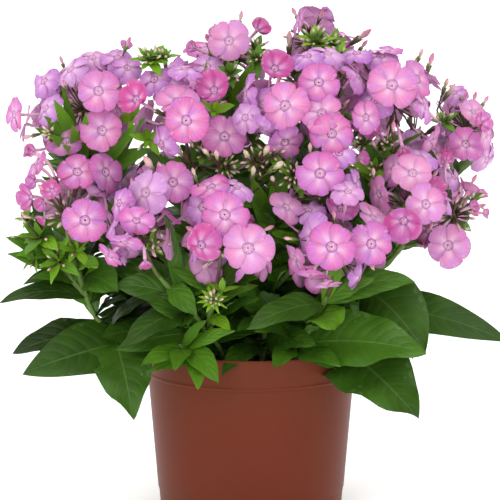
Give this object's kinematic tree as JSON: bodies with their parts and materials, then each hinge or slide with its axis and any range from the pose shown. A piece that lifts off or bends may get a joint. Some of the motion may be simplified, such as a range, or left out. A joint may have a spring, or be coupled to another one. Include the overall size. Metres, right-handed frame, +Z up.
{
  "type": "potted garden phlox plant",
  "caption": "Compact garden phlox in bloom in a round moulded nursery pot: leafy branching stems in soil under domed heads of pink five-lobed florets.",
  "frame": {"origin": "on the ground under the middle of the pot", "axes": "+Z up along the pot's axis, -Y towards the plant's front, +X to the right seen from the front"},
  "size_m": [0.3402, 0.275, 0.3406],
  "materials": {
    "pot_plastic": "matte terracotta-brown moulded plastic",
    "potting_soil": "dark crumbly peat",
    "foliage": "deep green leaves with a soft sheen",
    "petals": "soft matte orchid-pink petals"
  },
  "bodies": {
    "root": {"pot": "pot_plastic", "soil": "potting_soil", "stem_left": "foliage", "stem_front_left": "foliage", "stem_mid_left": "foliage", "stem_mid": "foliage", "stem_mid_right": "foliage", "stem_front_right": "foliage", "stem_right": "foliage", "stem_far_right": "foliage", "stem_back_left": "foliage", "stem_back_mid_left": "foliage", "stem_back_mid_right": "foliage", "stem_back_right": "foliage", "shoot_front_left": "foliage", "head_left_top": "petals", "head_left_side": "petals", "head_mid_left": "petals", "head_crown_left": "petals", "head_mid": "petals", "head_mid_right": "petals", "head_crown_right": "petals", "head_front_left": "petals", "head_front_mid": "petals", "head_front_gap": "petals", "head_front_right": "petals", "head_right_top": "petals", "head_right_edge": "petals", "head_right_front": "petals", "head_right_low": "petals", "head_back_left_top": "petals", "head_back_left_low": "petals", "head_back_mid_left_top": "petals", "head_back_mid_left_low": "petals", "head_back_mid_right_top": "petals", "head_back_mid_right_low": "petals", "head_back_right_top": "petals", "head_back_right_low": "petals"}
  },
  "joints": []
}
